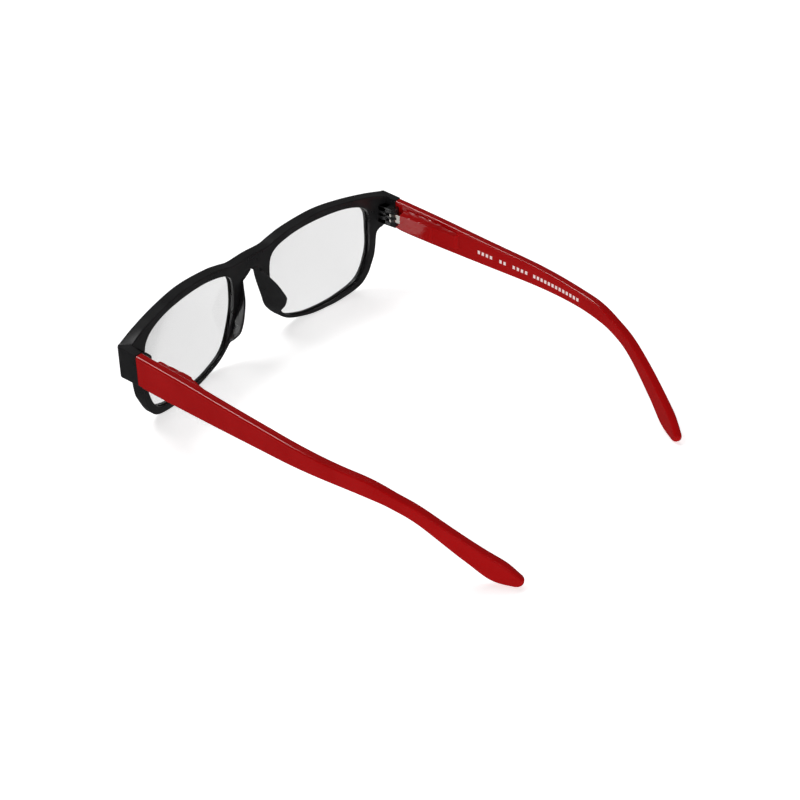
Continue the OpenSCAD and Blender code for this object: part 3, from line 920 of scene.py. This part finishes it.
def temple_mesh():
    """Ring of each station: outer face up, top edge, inner face down, bottom edge."""
    across = temple_rows()
    flat = middle[:, None] + normal[:, None] * across[..., None]
    y, z = flat[..., 0], np.maximum(flat[..., 1], 0.02)
    edge = distance_to(flat.reshape(-1, 2), side_outline).reshape(y.shape)
    edge = np.where((np.abs(across) > half[:, None] - 1e-6), 0, edge)
    near_tip = np.clip((y - drop_y - 28) / 14, 0, 1)
    sink = rounding(edge, EDGE_R + (TIP_EDGE_R - EDGE_R) * near_tip)
    outer = rolled(y, z, sink)
    inner = rolled(y, z, inner_depth(y, z) - sink)[:, ::-1]
    between = np.linspace(0, 1, 4)[1:-1]
    top = outer[:, -1][:, None] + between[None, :, None] * (inner[:, 0] - outer[:, -1])[:, None]
    low = inner[:, -1][:, None] + between[None, :, None] * (outer[:, 0] - inner[:, -1])[:, None]
    rings = np.concatenate([outer, top, inner, low], axis=1)
    rows = rings.shape[1]
    faces = [list(f) for f in grid_faces(len(rings), rows, wrap_columns=True)]
    faces.append(list(range(rows)))
    return rings.reshape(-1, 3), faces


temple_points, temple_faces = temple_mesh()
for side, mirror in (("left", False), ("right", True)):
    points = mirrored(temple_points) if mirror else temple_points
    temple = make_piece(side + "_temple_arm", points, temple_faces, red, side + "_temple")
    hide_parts(side + "_temple")

# %% [markdown]
# ## Printed mark
# The inner face of the right temple carries a line of white print. Plain dashes stand
# for it: each one is a thin film of ink, lifted off the inner face by a hair.

# %% White dashes
INK_T = 0.04
DASH_H = 1.3
dash_starts = np.concatenate([[38, 39.8, 41.6, 43.4], [47.6, 49.4],
                              [53.4, 55.2, 57, 58.8], 62.4 + 1.65 * np.arange(13)])


def print_line(y):
    """Height of the middle of the print: it follows the middle of the temple."""
    return np.interp(y, middle[:-14, 0], middle[:-14, 1]) - 0.1


def dash(y, length=1.0):
    """One dash: a 5 x 3 grid on the inner face and its copy a film's thickness above."""
    across = np.linspace(0, length, 5)[:, None] + y
    up = np.linspace(-DASH_H / 2, DASH_H / 2, 3)[None, :]
    flat_y = across + 0 * up
    flat_z = print_line(flat_y) + up
    depth = inner_depth(flat_y, flat_z)
    film = np.concatenate([rolled(flat_y, flat_z, depth + lift).reshape(-1, 3)
                           for lift in (0.01, INK_T)])
    faces = np.concatenate([grid_faces(5, 3), grid_faces(5, 3, first=15)[:, ::-1]])
    rim = [0, 3, 6, 9, 12, 13, 14, 11, 8, 5, 2, 1]
    wall = [[rim[i], rim[(i + 1) % 12], rim[(i + 1) % 12] + 15, rim[i] + 15]
            for i in range(12)]
    return film, [list(f) for f in faces] + wall


def printing_ink():
    """Matt white ink, with 0.4 mm specks where the red shows through a little."""
    material, shader, place = new_material("pad_printed_white_ink")
    speck = node(material, "ShaderNodeTexNoise", [("Scale", blotches(0.4))], [("Vector", place)])
    tone = node(material, "ShaderNodeValToRGB", [], [("Fac", speck.outputs["Fac"])])
    tone.color_ramp.elements[0].color = colour("#e8c4c4")
    tone.color_ramp.elements[1].color = colour("#fff4f2")
    join(material, shader, "Base Color", tone.outputs["Color"])
    shader.inputs["Roughness"].default_value = 0.45
    return material


ink = printing_ink()
dash_points, dash_faces = together([dash(y) for y in dash_starts])
make_piece("right_printed_dashes", mirrored(dash_points), dash_faces, ink, "right_temple")

# %% [markdown]
# ## Lenses
# A lens is cut from a round blank with two spherical faces. Rings of points run from the
# middle to the outline on both faces, and the edge between them sits in the groove.

# %% Make the lenses


def lens_mesh(n_rings=26, n=168):
    """Polar grid on each sphere, closed by the edge wall."""
    t = np.linspace(0, LENS_SPAN, n, endpoint=False)
    line = curve(lens_points, t, closed=True)
    ahead = np.roll(line, -1, 0) - np.roll(line, 1, 0)
    out = np.stack([ahead[:, 1], -ahead[:, 0]], -1)
    out /= np.linalg.norm(out, axis=1, keepdims=True)
    line = line + out * GROOVE
    share = np.linspace(0, 1, n_rings)[1:]
    flat = [lens_x, lens_z] + share[:, None, None] * (line - [lens_x, lens_z])
    front_face = np.stack([flat[..., 0], lens_y(flat[..., 0], flat[..., 1], LENS_FRONT_R, 0),
                           flat[..., 1]], -1)
    rear_face = np.stack([flat[..., 0], lens_y(flat[..., 0], flat[..., 1], LENS_REAR_R, LENS_T),
                          flat[..., 1]], -1)
    rings = np.concatenate([front_face, rear_face[::-1]])
    faces = [list(f) for f in grid_faces(len(rings), n, wrap_columns=True)]
    faces.append(list(range(n)))
    faces.append(list(range((len(rings) - 1) * n, len(rings) * n)))
    return rings.reshape(-1, 3), faces


lens_points_3d, lens_faces = lens_mesh()
for side, mirror in (("left", False), ("right", True)):
    points = mirrored(lens_points_3d) if mirror else lens_points_3d
    lens = make_piece(side + "_clear_lens", points, lens_faces, acrylic, "front")
    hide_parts(side + "_lens")

# %% [markdown]
# ## Springs
# Each spring is a helix of thin wire round the rod, squeezed between the stop plate and
# the nut. A small circle carried along the helix makes the wire. When the temple is
# pulled back, the plate comes 1 mm nearer to the nut; the helix is drawn at rest only.

# %% Make the springs
spring_low, spring_high = node_box("left_spring")
WIRE_R = 0.15
coil_r = (spring_high[0] - spring_low[0]) / 2 - WIRE_R


def spring_mesh(turns=8, per_turn=28, n_wire=10):
    """Helix along y with a round wire; the ends are closed by fans."""
    t = np.linspace(0, 1, turns * per_turn + 1)
    angle = 2 * math.pi * turns * t
    y = spring_low[1] + WIRE_R + t * (spring_high[1] - spring_low[1] - 2 * WIRE_R)
    out = np.stack([np.cos(angle), np.zeros_like(t), np.sin(angle)], -1)
    centre = np.array([axis_x, 0, hinge_h]) + coil_r * out + np.stack([0 * t, y, 0 * t], -1)
    turn = np.linspace(0, 2 * math.pi, n_wire, endpoint=False)
    tube = (centre[:, None] + WIRE_R * (np.cos(turn)[None, :, None] * out[:, None]
            + np.sin(turn)[None, :, None] * np.array([0, 1.0, 0])))
    faces = [list(f) for f in grid_faces(len(t), n_wire, wrap_columns=True)]
    faces.append(list(range(n_wire)))
    faces.append(list(range((len(t) - 1) * n_wire, len(t) * n_wire)))
    return tube.reshape(-1, 3), faces


spring_points, spring_faces = spring_mesh()
for side, mirror in (("left", False), ("right", True)):
    points = mirrored(spring_points) if mirror else spring_points
    spring = make_piece(side + "_coil_spring", points, spring_faces, wire_steel,
                        side + "_temple")
    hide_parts(side + "_spring")
    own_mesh(spring)

# %% [markdown]
# ## Finishes of the small metal parts
# The screws, tongues, housings, plates and nuts keep their CAD shapes, because they are
# plain turned and pressed parts, and take the steel materials.

# %% Assign the steels
CAD_FINISHES = {"hinge_screw": nickel, "hinge_tongue": nickel, "spring_housing": stainless,
                "stop_plate": stainless, "rod_nut": nickel}
for side in ("left", "right"):
    for part_name, material in CAD_FINISHES.items():
        slots = frame["nodes"][side + "_" + part_name].data.materials
        slots.clear()
        slots.append(material)

# %% [markdown]
# ## Light and floor
# The glasses stand on white card that glows a little, so it stays white to its far edge.
# A small lamp high in front draws the bright lines on the glossy edges. Two broad ones,
# above the right side and low behind the left, only fill in: glossy faces don't show them.

# %% Stage


def floor_material():
    """White card with 1 mm fibres, which glows a little."""
    material, shader, place = new_material("matt_white_card")
    fibre = node(material, "ShaderNodeTexNoise", [("Scale", blotches(1.1)), ("Detail", 2.0)],
                 [("Vector", place)])
    tone = node(material, "ShaderNodeValToRGB", [], [("Fac", fibre.outputs["Fac"])])
    tone.color_ramp.elements[0].color = colour("#fafafa")
    tone.color_ramp.elements[1].color = colour("#ffffff")
    join(material, shader, "Base Color", tone.outputs["Color"])
    shader.inputs["Roughness"].default_value = 0.9
    shader.inputs["Specular IOR Level"].default_value = 0.0
    shader.inputs["Emission Color"].default_value = colour("#ffffff")
    shader.inputs["Emission Strength"].default_value = 0.6
    return material


def lamp(name, place, aim, size, power):
    """Square area lamp at place (mm) that faces aim (mm), side in mm, power in watts."""
    light = bpy.data.lights.new(name, "AREA")
    light.shape = "SQUARE"
    light.size = size * MM
    light.energy = power
    thing = bpy.data.objects.new(name, light)
    bpy.context.scene.collection.objects.link(thing)
    direction = Vector(np.array(aim, float) - np.array(place, float))
    thing.rotation_euler = direction.to_track_quat("-Z", "Y").to_euler()
    thing.location = np.array(place, float) * MM
    return thing


floor_mesh = bpy.data.meshes.new("floor")
reach = 6000 * MM        # half the side of the card
floor_mesh.from_pydata([(-reach, -reach, 0), (reach, -reach, 0), (reach, reach, 0),
                        (-reach, reach, 0)], [], [(0, 1, 2, 3)])
floor_mesh.materials.append(floor_material())
floor = bpy.data.objects.new("floor", floor_mesh)
bpy.context.scene.collection.objects.link(floor)
floor.visible_glossy = False
lamp("key", (150, -500, 850), (0, 0, 0), 360, 3.5)
top = lamp("top", (-550, -350, 900), (0, 0, 0), 600, 2.6)
fill = lamp("fill", (700, 950, 450), (0, 0, 10), 900, 7.5)
top.visible_glossy = False
fill.visible_glossy = False
world = bpy.data.worlds.new("studio")
world.use_nodes = True
world.node_tree.nodes["Background"].inputs["Color"].default_value = colour("#ffffff")
world.node_tree.nodes["Background"].inputs["Strength"].default_value = 0.06
bpy.context.scene.world = world
bpy.context.scene.view_settings.view_transform = "Standard"
